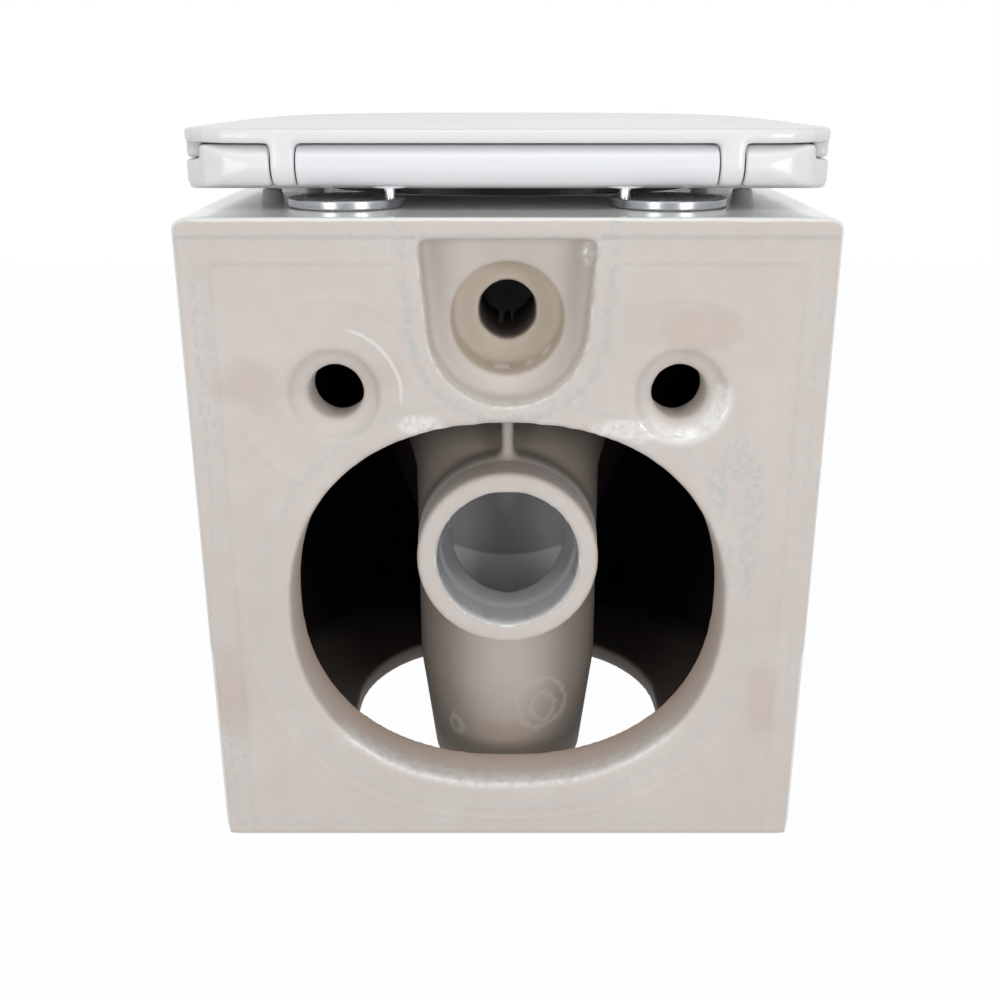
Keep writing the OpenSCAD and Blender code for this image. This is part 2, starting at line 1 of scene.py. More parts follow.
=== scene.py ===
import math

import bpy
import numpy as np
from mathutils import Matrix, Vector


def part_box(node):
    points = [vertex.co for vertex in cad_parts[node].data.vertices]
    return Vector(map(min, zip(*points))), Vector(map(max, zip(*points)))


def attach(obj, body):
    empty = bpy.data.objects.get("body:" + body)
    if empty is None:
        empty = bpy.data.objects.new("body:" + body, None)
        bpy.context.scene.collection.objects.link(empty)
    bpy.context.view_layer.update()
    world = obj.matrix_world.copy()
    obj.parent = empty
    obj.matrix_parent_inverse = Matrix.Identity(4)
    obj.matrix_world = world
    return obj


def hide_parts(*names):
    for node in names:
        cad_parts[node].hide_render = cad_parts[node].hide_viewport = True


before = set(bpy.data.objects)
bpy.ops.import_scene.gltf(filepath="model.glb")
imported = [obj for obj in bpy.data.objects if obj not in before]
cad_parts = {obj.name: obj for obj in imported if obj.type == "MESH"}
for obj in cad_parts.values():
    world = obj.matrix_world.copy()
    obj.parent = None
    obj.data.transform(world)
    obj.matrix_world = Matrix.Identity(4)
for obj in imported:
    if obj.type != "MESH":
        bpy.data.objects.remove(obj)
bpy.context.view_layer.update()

# %% [markdown]
# # A wall hung toilet, seen from the wall side
#
# The frame holds every solid of the toilet at its real size, in metres: the wall is the plane
# y = 0, the pan stands out towards -Y and the origin lies midway between the two wall bolts.
# This lesson dresses those solids: fired clay, glaze, moulded plastic and brushed steel.

MM = 0.001

# %% [markdown]
# ## The camera
#
# The picture is taken from the wall side and a little above. A lens of 42.5 mm on a 36 mm
# sensor, tilted down by 19.1 degrees, gives the same convergence of the upright edges. The
# tiny shift only centres the object as it is framed.

# %% Camera
IMAGE_PIXELS = 1000
FOCAL_PIXELS = 1180
SENSOR_MM = 36
PITCH = math.radians(19.1)
MIDDLE_PIXEL = 507.5
CAMERA_OUT, CAMERA_UP = 594.6 * MM, 148.9 * MM

camera_data = bpy.data.cameras.new("camera")
camera_data.sensor_width = SENSOR_MM
camera_data.lens = SENSOR_MM * FOCAL_PIXELS / IMAGE_PIXELS
camera_data.shift_x = (IMAGE_PIXELS / 2 - MIDDLE_PIXEL) / IMAGE_PIXELS
camera = bpy.data.objects.new("camera", camera_data)
camera.location = (0, CAMERA_OUT, CAMERA_UP)
camera.rotation_euler = (math.pi / 2 - PITCH, 0, math.pi)
bpy.context.collection.objects.link(camera)
bpy.context.scene.camera = camera
bpy.context.scene.view_settings.view_transform = "Standard"
print("lens", round(camera_data.lens, 2))

# %% [markdown]
# ## Building materials from nodes
#
# A material is a small graph. `put` adds one node, sets or links its inputs and hands back its
# first output, so that a graph reads like a formula. `group` makes a shader node group with
# named sockets; `use` places it in a material with that material's own values.


# %% Graph helpers
def feed(tree, sockets, inputs):
    """Links each input to the socket it is given, or sets it to the value."""
    for key, value in inputs.items():
        if isinstance(value, bpy.types.NodeSocket):
            tree.links.new(value, sockets[key])
        else:
            sockets[key].default_value = value


def put(tree, kind, inputs=None, out=0, **settings):
    node = tree.nodes.new("ShaderNode" + kind)
    for name, value in settings.items():
        setattr(node, name, value)
    feed(tree, node.inputs, inputs or {})
    return node.outputs[out]


def maths(tree, operation, a, b=0.0, clamp=False):
    return put(tree, "Math", {0: a, 1: b}, operation=operation, use_clamp=clamp)


def plus(tree, a, b):
    return maths(tree, "ADD", a, b)


def minus(tree, a, b):
    return maths(tree, "SUBTRACT", a, b)


def times(tree, a, b):
    return maths(tree, "MULTIPLY", a, b)


def blend(tree, factor, a, b):
    """Mixes two colours, which are inputs 6 and 7 of the node."""
    return put(tree, "Mix", {"Factor": factor, 6: a, 7: b}, out=2, data_type="RGBA")


def bump(tree, height, depth, strength):
    """A normal that follows a height; a height of 1 stands out by the depth, in metres."""
    return put(tree, "Bump", {"Strength": strength, "Distance": depth, "Height": height})


def ramp(tree, value, low, high, to_low=0.0, to_high=1.0):
    """Maps low..high to to_low..to_high, smoothly and held at both ends."""
    return put(
        tree,
        "MapRange",
        {"Value": value, "From Min": low, "From Max": high, "To Min": to_low, "To Max": to_high},
        interpolation_type="SMOOTHSTEP",
    )


def group(name, inputs, outputs):
    """An empty node group with float, vector or colour sockets."""
    tree = bpy.data.node_groups.new(name, "ShaderNodeTree")
    for direction, sockets in (("INPUT", inputs), ("OUTPUT", outputs)):
        for socket, value in sockets.items():
            kind = {float: "Float", tuple: "Vector", str: "Color"}[type(value)]
            made = tree.interface.new_socket(
                socket, in_out=direction, socket_type="NodeSocket" + kind
            )
            if isinstance(value, float):
                made.default_value = value
    return tree, tree.nodes.new("NodeGroupInput").outputs, tree.nodes.new("NodeGroupOutput").inputs


def use(tree, shared, inputs):
    node = tree.nodes.new("ShaderNodeGroup")
    node.node_tree = shared
    feed(tree, node.inputs, inputs)
    return node.outputs[0]


def colour(hexadecimal):
    """A linear colour from the usual six digits."""
    parts = [int(hexadecimal[i : i + 2], 16) / 255 for i in (0, 2, 4)]
    return (*[p / 12.92 if p <= 0.04045 else ((p + 0.055) / 1.055) ** 2.4 for p in parts], 1)


def finish_material(name, paint):
    """A material whose Principled shader gets what paint(tree, place) returns. The place is
    the point in the object's own coordinates, output 3 of the node."""
    made = bpy.data.materials.new(name)
    made.use_nodes = True
    tree = made.node_tree
    shader = tree.nodes["Principled BSDF"]
    place = put(tree, "TexCoord", out=3)
    feed(tree, shader.inputs, paint(tree, place))
    return made


print("graph helpers ready")

# %% [markdown]
# ## Effects that several finishes share
#
# Four effects come back all over this object. *Mottle* is the slow drift of tone that any real
# surface has. *Skin* is the fine unevenness of moulded plastic and cast metal. *Speckle* is a
# scatter of small dots, such as iron specks in clay or dust. *Brushing* is the run of fine
# scratches that a belt leaves on steel, drawn as noise that is stretched along one direction.


# %% Shared node groups
def noise(tree, place, scale, detail, roughness=0.5):
    return put(
        tree,
        "TexNoise",
        {"Vector": place, "Scale": scale, "Detail": detail, "Roughness": roughness},
    )


mottle, given, result = group(
    "mottle", {"Place": (0, 0, 0), "Scale": 20.0, "Strength": 1.0}, {"Value": 0.0}
)
broad = noise(mottle, given["Place"], given["Scale"], 4.0, 0.6)
spread = times(mottle, minus(mottle, broad, 0.5), given["Strength"])
mottle.links.new(maths(mottle, "ADD", spread, 0.5, clamp=True), result["Value"])

GRAIN_SHARE = 0.12
skin, given, result = group(
    "skin", {"Place": (0, 0, 0), "Scale": 900.0, "Waves": 60.0}, {"Height": 0.0}
)
grain = noise(skin, given["Place"], given["Scale"], 2.0, 0.6)
waves = noise(skin, given["Place"], given["Waves"], 1.0)
skin.links.new(plus(skin, times(skin, grain, GRAIN_SHARE), waves), result["Height"])

speckle, given, result = group(
    "speckle", {"Place": (0, 0, 0), "Scale": 400.0, "Size": 0.12, "Share": 0.3}, {"Mask": 0.0}
)
cells = speckle.nodes.new("ShaderNodeTexVoronoi")
speckle.links.new(given["Place"], cells.inputs["Vector"])
speckle.links.new(given["Scale"], cells.inputs["Scale"])
dot = maths(speckle, "LESS_THAN", cells.outputs["Distance"], given["Size"])
chosen = maths(
    speckle,
    "LESS_THAN",
    put(speckle, "SeparateColor", {"Color": cells.outputs["Color"]}),
    given["Share"],
)
speckle.links.new(times(speckle, dot, chosen), result["Mask"])

brushing, given, result = group(
    "brushing", {"Place": (0, 0, 0), "Along": (1, 1, 1), "Scale": 60.0}, {"Value": 0.0}
)
stretched = put(
    brushing, "VectorMath", {0: given["Place"], 1: given["Along"]}, operation="MULTIPLY"
)
brushing.links.new(noise(brushing, stretched, given["Scale"], 6.0, 0.7), result["Value"])
print("shared groups", [g.name for g in bpy.data.node_groups])

# %% [markdown]
# ## The clay body
#
# The pan is slip-cast: liquid clay fills a plaster mould, so every edge comes out soft and no
# corner is sharp. The exact solid has sharp corners. The way here is the one a sculptor would
# take: copy it, remesh it into small even faces, and let neighbouring points average out until
# the corners are as round as fired clay. The flat back, the skin and the bowl are then drawn
# back onto their own formulas, so that gloss on the outside shows no facets.

# %% Mesh helpers
PAN_LOW, PAN_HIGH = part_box("ceramic_pan")
RIM = PAN_HIGH.z
BASE = PAN_LOW.z


def arrays(mesh):
    """Points and edges of a mesh."""
    points = np.empty(len(mesh.vertices) * 3)
    mesh.vertices.foreach_get("co", points)
    edges = np.empty(len(mesh.edges) * 2, np.int64)
    mesh.edges.foreach_get("vertices", edges)
    return points.reshape(-1, 3), edges.reshape(-1, 2)


def normals_of(mesh):
    normals = np.empty(len(mesh.vertices) * 3, np.float32)
    mesh.vertex_normals.foreach_get("vector", normals)
    return normals.reshape(-1, 3).astype(float)


def move(mesh, points):
    mesh.vertices.foreach_set("co", points.ravel())
    mesh.update()


def soften(points, edges, rounds, weight):
    """Moves each point a share of the way to the mean of its neighbours, round by round."""
    count = np.bincount(edges.ravel(), minlength=len(points))
    a, b = edges.T
    for _ in range(rounds):
        mean = np.empty_like(points)
        for axis in range(3):
            mean[:, axis] = np.bincount(a, points[b, axis], len(points))
            mean[:, axis] += np.bincount(b, points[a, axis], len(points))
        points = points + weight * (mean / count[:, None] - points)
    return points


def step(value, low, high):
    """Smooth step from 0 at low to 1 at high, for arrays."""
    t = np.clip((value - low) / (high - low), 0, 1)
    return t * t * (3 - 2 * t)


print("pan from", round(BASE / MM, 1), "to", round(RIM / MM, 1), "mm above the bolts")


# %% Remesh and thin out
def blank(mesh):
    """A piece that only carries modifiers for a while."""
    piece = bpy.data.objects.new("blank", mesh)
    bpy.context.collection.objects.link(piece)
    return piece


def applied(piece, name):
    """The piece's mesh with its modifiers applied, as a new mesh. The piece goes away."""
    bpy.context.view_layer.update()
    graph = bpy.context.evaluated_depsgraph_get()
    mesh = bpy.data.meshes.new_from_object(piece.evaluated_get(graph))
    mesh.name = name
    bpy.data.objects.remove(piece)
    return mesh


def remeshed(node, voxel):
    """A copy of a solid's mesh with small even faces."""
    piece = blank(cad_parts[node].data.copy())
    piece.modifiers.new("weld", "WELD").merge_threshold = 0.001 * MM
    even = piece.modifiers.new("even", "REMESH")
    even.mode = "VOXEL"
    even.voxel_size = voxel
    return applied(piece, node + "_even")


def thinned(mesh, faces, name):
    """The mesh with fewer faces; a closed mesh has about two for each point."""
    piece = blank(mesh)
    piece.modifiers.new("thin", "DECIMATE").ratio = min(1, faces / (2 * len(mesh.vertices)))
    return applied(piece, name)


VOXEL = 2.0 * MM
fine = remeshed("ceramic_pan", VOXEL)
points, edges = arrays(fine)
print("remeshed pan", len(points), "points")

# %% [markdown]
# The skin of the pan is a bowed flank that runs into a squarish oval at the front, and the
# bowl is a stack of squarish ovals. Each formula says how far out a point at a given height
# should lie, so a point that is already close is simply moved there.

# %% The pan's own formulas
BACK_WIDTH, BASE_WIDTH, RIM_WIDTH = 334 * MM, 331 * MM, 354 * MM
BASE_BOW = 3 * MM
DEPTH, FLANK, BASE_DEPTH = 520 * MM, 300 * MM, 268 * MM
BAND = 92 * MM
RIM_ROUND = 6 * MM
FRONT_POWER, KEEL_POWER, BOWL_POWER = 2.7, 2.3, 2.4
BOWL_WIDTH, BOWL_LENGTH, BOWL_FROM_WALL, BOWL_DEPTH = 270 * MM, 345 * MM, 135 * MM, 260 * MM
OUTLET_Z, OUTLET_RADIUS, OUTLET_BORE = -100 * MM, 51 * MM, 40 * MM
OUTLET_BACK, SPIGOT = 20 * MM, 27 * MM
# Depth, width, start and end of the bowl at each level, from the foot up
BOWL_LEVEL_SHARES = (
    (1, 0.22, 0.17, 0.34),
    (0.923, 0.35, 0.145, 0.43),
    (0.77, 0.5, 0.12, 0.6),
    (0.577, 0.69, 0.085, 0.78),
    (0.346, 0.875, 0.043, 0.93),
    (0.115, 0.985, 0.008, 0.992),
    (0, 1, 0, 1),
)


def keel_share(z):
    s = np.clip((RIM - BAND - z) / (RIM - BASE - BAND), 0, 1)
    return (1 - s**KEEL_POWER) ** (1 / KEEL_POWER)


def skin_ratio(p):
    """How far out each point lies, as a share of the skin's own outline at its height, and
    the middle line that the share is measured from."""
    x, y, z = p.T
    k = keel_share(z)
    down = (RIM - z) / (RIM - BASE)
    half_back = (BACK_WIDTH + (BASE_WIDTH - BACK_WIDTH) * down) / 2
    base_width = BASE_WIDTH + BASE_BOW
    half_side = (base_width + (RIM_WIDTH - base_width) * np.sqrt(k)) / 2
    depth = BASE_DEPTH + (DEPTH - BASE_DEPTH) * k
    flank = FLANK * depth / DEPTH
    inset = RIM_ROUND - np.sqrt(
        np.clip(RIM_ROUND**2 - np.clip(z - RIM + RIM_ROUND, 0, RIM_ROUND) ** 2, 0, None)
    )
    t = np.clip(-y / flank, 0, 1)
    along = half_back + (half_side - half_back) * (1 - (1 - t) ** 2) - inset
    u = np.abs(x) / (half_side - inset)
    v = np.clip((-y - flank) / (depth - flank - inset), 0, None)
    front = (u**FRONT_POWER + v**FRONT_POWER) ** (1 / FRONT_POWER)
    return np.where(-y > flank, front, np.abs(x) / along), -np.minimum(-y, flank)


def bowl_ratio(p):
    """The same for the inside of the bowl."""
    x, y, z = p.T
    share, width, start, end = np.array(BOWL_LEVEL_SHARES)[::-1].T
    level = np.clip((RIM - z) / BOWL_DEPTH, 0, 1)
    wide = np.interp(level, share, width) * BOWL_WIDTH / 2
    first = -BOWL_FROM_WALL - BOWL_LENGTH * np.interp(level, share, start)
    last = -BOWL_FROM_WALL - BOWL_LENGTH * np.interp(level, share, end)
    middle = (first + last) / 2
    u, v = np.abs(x) / wide, np.abs(y - middle) / ((first - last) / 2)
    return (u**BOWL_POWER + v**BOWL_POWER) ** (1 / BOWL_POWER), middle


# %% Soften, then draw the skin back
LEAST_RATIO = 0.2


def drawn_to(p, ratio, middle, pull):
    """Points scaled about the middle line towards a ratio of 1, by a pull of 0 to 1."""
    share = 1 + (1 / np.maximum(ratio, LEAST_RATIO) - 1) * pull
    return np.column_stack((p[:, 0] * share, middle + (p[:, 1] - middle) * share, p[:, 2]))


SOFTENING = 0.6
SKIN_BAND = (0.962, 0.985)

points = soften(points, edges, 4, SOFTENING)
ratio, middle = skin_ratio(points)
close = step(ratio, *SKIN_BAND) * step(-points[:, 1], 0.4 * MM, 2.5 * MM)
close *= step(points[:, 2], BASE + 1 * MM, BASE + 12 * MM)
close *= 1 - step(points[:, 2], RIM - 3 * MM, RIM - 1 * MM)
before = points
points = drawn_to(points, ratio, middle, close)
print("skin drawn in by up to", round(np.abs(points - before).max() / MM, 2), "mm")

# %% Draw the bowl back
BOWL_BAND = (0.9, 0.95)
BOWL_NEAR = 1.04

move(fine, points)
facing = normals_of(fine)
ratio, middle = bowl_ratio(points)
inward = facing[:, 0] * points[:, 0] + facing[:, 1] * (points[:, 1] - middle) < 0
bowl = inward & (ratio < BOWL_NEAR) & (points[:, 2] > RIM - 0.9 * BOWL_DEPTH)
bowl_pull = bowl * step(ratio, *BOWL_BAND) * (1 - step(points[:, 2], RIM - 5 * MM, RIM - 2 * MM))
points = drawn_to(points, ratio, middle, bowl_pull)
points = soften(points, edges, 3, SOFTENING / 2)
print("bowl points", int(bowl.sum()))

# %% [markdown]
# A rubber seal closes on the waste spigot, so its outside and its bore have to stay round.
# Softening leaves them slightly uneven, and drawing their points onto two true circles is
# simpler than a finer mesh. After that nothing may stand out of the solid's own box.

# %% Draw the spigot back
radius = np.hypot(points[:, 0], points[:, 2] - OUTLET_Z)
along_spigot = step(-points[:, 1], OUTLET_BACK + 1 * MM, OUTLET_BACK + 4 * MM)
along_spigot *= 1 - step(-points[:, 1], OUTLET_BACK + SPIGOT - 4 * MM, OUTLET_BACK + SPIGOT)
for target in (OUTLET_RADIUS, OUTLET_BORE):
    near = along_spigot * (np.abs(radius - target) < 3 * MM)
    share = 1 + (target / np.maximum(radius, 1 * MM) - 1) * near
    points[:, 0] *= share
    points[:, 2] = OUTLET_Z + (points[:, 2] - OUTLET_Z) * share
points[:, 1] = np.minimum(points[:, 1], 0)
points = np.clip(points, PAN_LOW, PAN_HIGH)
print("spigot points", int((along_spigot > 0).sum()))

# %% [markdown]
# The remeshed pan has over half a million faces, far more than a flat back needs. Decimation
# keeps the curved lips and rims dense and lets the plain walls grow large faces, which also
# keeps the export light.

# %% Thin out the pan's mesh
PAN_FACES = 185_000

move(fine, points)
fired = thinned(fine, PAN_FACES, "fired_clay")
points, edges = arrays(fired)
points[:, 1] = np.minimum(points[:, 1], 0)
points = np.clip(points, PAN_LOW, PAN_HIGH)
move(fired, points)
print("fired clay", len(fired.polygons), "faces")

# %% [markdown]
# ## Where glaze was sprayed
#
# Glaze is sprayed on the outside, the rim, the bowl and the water ways. The wall side and the
# hollow behind it stay bare clay. Each point of the mesh carries this as numbers: how glazed it
# is and how deep in the hollow it lies, where hardly any light comes back out and painted shade
# darkens the clay. The material reads these numbers, so they stay on the clay from every side.

# %% Glaze for each point
GLAZE_BAND = (0.955, 0.975)

facing = normals_of(fired)
x, y, z = points.T
ratio, middle = skin_ratio(points)
outward = facing[:, 0] * x + facing[:, 1] * (y - middle) > -0.2 * np.hypot(x, y - middle)
skin_side = step(ratio, *GLAZE_BAND) * outward * (z > BASE + 4 * MM)
bowl_side, bowl_middle = bowl_ratio(points)
inward = facing[:, 0] * x + facing[:, 1] * (y - bowl_middle) < 0
bowl_side = (bowl_side < 1.02) & inward & (z > RIM - 1.02 * BOWL_DEPTH)
rim_side = (z > RIM - 4 * MM) & (facing[:, 2] > 0.1)
glazed = np.maximum(np.maximum(skin_side, bowl_side), rim_side)
print("glazed share", round(float(glazed.mean()), 3))

# %% Water ways, and the depth that paints shade, for each point
INLET_Z, INLET_SOCKET, INLET_WAY = 35 * MM, 30 * MM, 16 * MM
LEG_MIDDLE, LEG_WAY = 104 * MM, 36 * MM
WAY_COAT = 0.9


def keep(mesh, name, values):
    layer = mesh.attributes.new(name, "FLOAT", "POINT")
    layer.data.foreach_set("value", np.asarray(values, np.float32))


def between(value, low, high):
    return (value > low) & (value < high)


from_outlet, from_inlet = np.hypot(x, z - OUTLET_Z), np.hypot(x, z - INLET_Z)
in_outlet = from_outlet < OUTLET_BORE + 0.8 * MM
in_outlet &= between(y, -LEG_MIDDLE, -OUTLET_BACK - 0.5 * MM)
in_leg = np.hypot(x, y + LEG_MIDDLE) < LEG_WAY + 2.5 * MM
in_leg &= between(z, -217 * MM, -60 * MM)
in_inlet = (from_inlet < INLET_SOCKET + 0.8 * MM) & between(y, -57 * MM, -25 * MM)
in_hole = (from_inlet < INLET_WAY + 1 * MM) & between(y, -152 * MM, -56 * MM)
in_way = in_outlet | in_leg
# Painted shade: depth darkens bare clay deep in the hollow, less near the foot, and the flush
# way's hole
depth = step(-y, 42 * MM, 170 * MM) * (1 - glazed) * ~(in_way | in_inlet)
depth *= 1 - 0.6 * (1 - step(z, BASE + 12 * MM, BASE + 18 * MM)) * (y > -300 * MM)
depth = np.maximum(depth, in_hole * step(-y, 56 * MM, 70 * MM))
keep(fired, "glazed", np.maximum(glazed, WAY_COAT * in_way))
keep(fired, "depth", depth)
keep(fired, "socket", in_inlet)
print("share in the water ways", round(float(in_way.mean()), 3))
print("share in the dark hollow", round(float((depth > 0.5).mean()), 3))

# %% [markdown]
# ## Fired clay and glaze
#
# Bare vitreous china is a warm, chalky grey with a bluish bloom near the edges, where a little
# glaze dust drifted over. Moulded lines run along the top and the sides, and drips and smears
# of glaze lie round the pockets. All of them are drawn by distance: how far a point lies from a
# line or an oval is a small formula of its own coordinates. So they stay crisp at any mesh
# density, and the same distance feeds the colour, the gloss and the height.


# %% Masks
def both(tree, *masks):
    """The highest of several masks."""
    total = masks[0]
    for mask in masks[1:]:
        total = maths(tree, "MAXIMUM", total, mask)
    return total


def held(tree, *masks):
    """The product of several masks."""
    total = masks[0]
    for mask in masks[1:]:
        total = times(tree, total, mask)
    return total


def rises(tree, value, low, high):
    """0 below low and 1 above high, which are in millimetres."""
    return ramp(tree, value, low * MM, high * MM)


def falls(tree, value, low, high):
    """1 below low and 0 above high, which are in millimetres."""
    return ramp(tree, value, low * MM, high * MM, 1.0, 0.0)


print("mask helpers ready")


# %% Distances on the wall side
def reach(tree, a, b):
    """Length of the long side of a right triangle."""
    total = plus(tree, maths(tree, "POWER", a, 2.0), maths(tree, "POWER", b, 2.0))
    return maths(tree, "SQRT", total)


def oval_gap(tree, u, v, middle, half, power):
    """Rough distance outside an upright squarish oval on the wall side."""
    shares = []
    for value, centre, half_size in ((u, middle[0], half[0]), (v, middle[1], half[1])):
        offset = maths(tree, "ABSOLUTE", minus(tree, value, centre))
        shares.append(maths(tree, "POWER", maths(tree, "DIVIDE", offset, half_size), power))
    total = maths(tree, "POWER", plus(tree, *shares), 1 / power)
    return times(tree, minus(tree, total, 1.0), (half[0] + half[1]) / 2)


def line(tree, gap, centre, width):
    """1 on a line at the given distance, falling to 0 over its width, in millimetres."""
    offset = maths(tree, "ABSOLUTE", minus(tree, gap, centre * MM))
    return falls(tree, offset, 0, width)


def spot_gap(tree, at, spot):
    """Distance outside one oval of a table: its middle and its half sizes in millimetres."""
    u, v, half_u, half_v = (size * MM for size in spot)
    return oval_gap(tree, at.x, at.z, (u, v), (half_u, half_v), 2.0)


def ovals(tree, at, table, shift, soft):
    """1 inside any oval of a table, with its edge shifted by noise and softened."""
    mask = 0.0
    for spot in table:
        gap = plus(tree, spot_gap(tree, at, spot), shift)
        mask = both(tree, mask, falls(tree, gap, *soft))
    return mask


print("distance helpers ready")

# %% [markdown]
# `measure` collects what the layers share: the point's coordinates, three noises from broad to
# fine, the three numbers that the mesh carries, and its distance from the outline of the back,
# the large opening, the pocket and the two bolts. Every layer below takes them from here,
# which keeps the graph small and makes colour, gloss and height agree.

# %% What the layers share
OPENING_MIDDLE, OPENING_HALF, OPENING_POWER = (0.0, -123.5 * MM), (119 * MM, 108 * MM), 2.25
BOLT_X, BOLT_MOUTH = 90 * MM, 23.5 * MM
POCKET_FOOT, POCKET_SLANT = 41 * MM, 0.09
BROAD_SHIFT, FINE_SHIFT = 9 * MM, 5 * MM


class Point:
    """Holds the sockets that describe the point being shaded."""


def measure(tree, place):
    at = Point()
    x, y, z = put(tree, "SeparateXYZ", {0: place}).node.outputs
    at.x, at.y, at.z, at.wide = x, y, z, maths(tree, "ABSOLUTE", x)
    toward_wall = put(tree, "SeparateXYZ", {0: put(tree, "NewGeometry", out=1)}, out=1)
    at.wall_side = held(tree, ramp(tree, toward_wall, 0.75, 0.95), rises(tree, y, -3, -1.5))
    at.behind = falls(tree, y, -64, -38)
    # The mesh's depth number is painted shade for the dark hollow
    for name in ("glazed", "depth", "socket"):
        setattr(at, name, put(tree, "Attribute", out=2, attribute_name=name))

    at.slow = use(tree, mottle, {"Place": place, "Scale": 9.0, "Strength": 1.8})
    at.fast = use(tree, mottle, {"Place": place, "Scale": 70.0, "Strength": 1.6})
    at.flecks = use(tree, mottle, {"Place": place, "Scale": 240.0, "Strength": 2.4})
    at.specks = use(tree, speckle, {"Place": place, "Scale": 700.0, "Size": 0.22, "Share": 0.08})
    at.pale = use(tree, speckle, {"Place": place, "Scale": 800.0, "Size": 0.25, "Share": 0.07})
    at.grainy = times(tree, minus(tree, at.fast, 0.5), FINE_SHIFT)
    at.wander = plus(tree, times(tree, minus(tree, at.slow, 0.5), BROAD_SHIFT), at.grainy)

    side_gap, foot_gap = minus(tree, BACK_WIDTH / 2, at.wide), minus(tree, z, BASE)
    at.top_gap = minus(tree, RIM, z)
    at.edge = maths(tree, "MINIMUM", side_gap, maths(tree, "MINIMUM", at.top_gap, foot_gap))
    at.opening = oval_gap(tree, x, z, OPENING_MIDDLE, OPENING_HALF, OPENING_POWER)
    at.bolt = oval_gap(tree, at.wide, z, (BOLT_X, 0.0), (BOLT_MOUTH, BOLT_MOUTH), 2.0)
    above_inlet = minus(tree, z, INLET_Z)
    round_foot = reach(tree, x, maths(tree, "MINIMUM", above_inlet, 0.0))
    slant = times(tree, maths(tree, "MAXIMUM", above_inlet, 0.0), POCKET_SLANT)
    at.pocket = minus(tree, minus(tree, round_foot, POCKET_FOOT), slant)
    return at


print("large opening", [round(2 * half / MM) for half in OPENING_HALF], "mm")

# %% [markdown]
# Bare clay is laid down in layers: a drift between a warm and a light tone, the bloom, tan
# patches where the kiln browned it, fine sand, and painted shade on the trap and the hollow.
# Each layer is a mask and a tone, so any one of them can be changed without the others.

# %% Bare clay
BISQUE_WARM, BISQUE_LIGHT, BLOOM, TAN = "cdc4bd", "d9d2cd", "aebcc0", "bd9f88"
DARK_GRAIN, PALE_GRAIN, SLIP, SOCKET = "8f7f76", "f2efec", "cfc9c2", "dccfbb"
# Both tones on the next line are painted shade: for the deep hollow and for clay behind the back
# face
HOLLOW_SHADE, RECESS_SHADE = "2b2022", "a2988f"
# Middle and half sizes of ovals on the wall side, in millimetres
BLUISH = ((-131, -70, 6, 42), (-122, -34, 9, 16), (-112, -52, 8, 14), (-118, -96, 7, 20))
BROWNED = (
    (133, 6, 22, 14),
    (157, -177, 12, 30),
    (-143, -177, 10, 26),
    (-98, 34, 26, 12),
    (62, 12, 12, 9),
)
SLIP_RUNS = ((-20, -208, 14, 18), (-22, -212, 5, 8), (33, -229, 5, 8))


def bluish_bloom(tree, at):
    """Glaze dust along the edges, broken into flecks."""
    broken = ramp(tree, plus(tree, at.flecks, times(tree, at.fast, 0.5)), 0.55, 1.0)
    near_edge = line(tree, plus(tree, at.edge, at.grainy), 9, 3)
    further_in = line(tree, plus(tree, at.edge, at.wander), 16, 5)
    bloom = both(
        tree,
        held(tree, near_edge, ramp(tree, at.slow, 0.2, 0.7)),
        held(tree, further_in, ramp(tree, at.slow, 0.4, 0.8)),
        line(tree, plus(tree, at.pocket, at.wander), 9, 5),
        held(tree, line(tree, plus(tree, at.opening, at.wander), 14, 5), at.slow),
        ovals(tree, at, BLUISH, at.wander, (-6, 4)),
    )
    return held(tree, bloom, broken, rises(tree, at.y, -6, -2), 0.42)


def browned(tree, at):
    """Faint tan patches, and the tan return inside the large opening."""
    patches = ovals(tree, at, BROWNED, at.wander, (-12, 6))
    inside = held(
        tree,
        minus(tree, 1.0, at.wall_side),
        ramp(tree, at.y, -34 * MM, -8 * MM, 0.75, 0.25),
        falls(tree, maths(tree, "ABSOLUTE", at.opening), 6, 16),
        ramp(tree, at.z, -120 * MM, -60 * MM, 1.0, 0.4),
    )
    return both(tree, times(tree, patches, 0.24), times(tree, inside, 0.8))


def dried_slip(tree, at):
    """Uneven rings on the trap's leg where runs of slip dried."""
    slip = 0.0
    for spot in SLIP_RUNS:
        gap = plus(tree, spot_gap(tree, at, spot), times(tree, at.wander, 2.2))
        slip = both(tree, slip, line(tree, gap, 0, 3.5))
    return held(tree, slip, at.behind, rises(tree, at.y, -75, -65))


def bare_clay(tree, at, slip):
    warmth = plus(tree, at.slow, times(tree, minus(tree, at.fast, 0.5), 0.5))
    clay = blend(tree, warmth, colour(BISQUE_WARM), colour(BISQUE_LIGHT))
    for mask, tone in (
        (bluish_bloom(tree, at), BLOOM),
        (browned(tree, at), TAN),
        (times(tree, at.specks, 0.1), DARK_GRAIN),
        (times(tree, at.pale, 0.25), PALE_GRAIN),
        # Painted shade: bare clay behind the back face is darkened, except in the inlet socket
        (maths(tree, "SUBTRACT", at.behind, at.socket, clamp=True), RECESS_SHADE),
        (times(tree, slip, 0.55), SLIP),
        (times(tree, at.socket, 0.5), SOCKET),
        # Painted shade: the hollow and the flush way's hole are drawn near black
        (at.depth, HOLLOW_SHADE),
    ):
        clay = blend(tree, mask, clay, colour(tone))
    return clay


print("ovals in the clay", len(BLUISH + BROWNED + SLIP_RUNS))

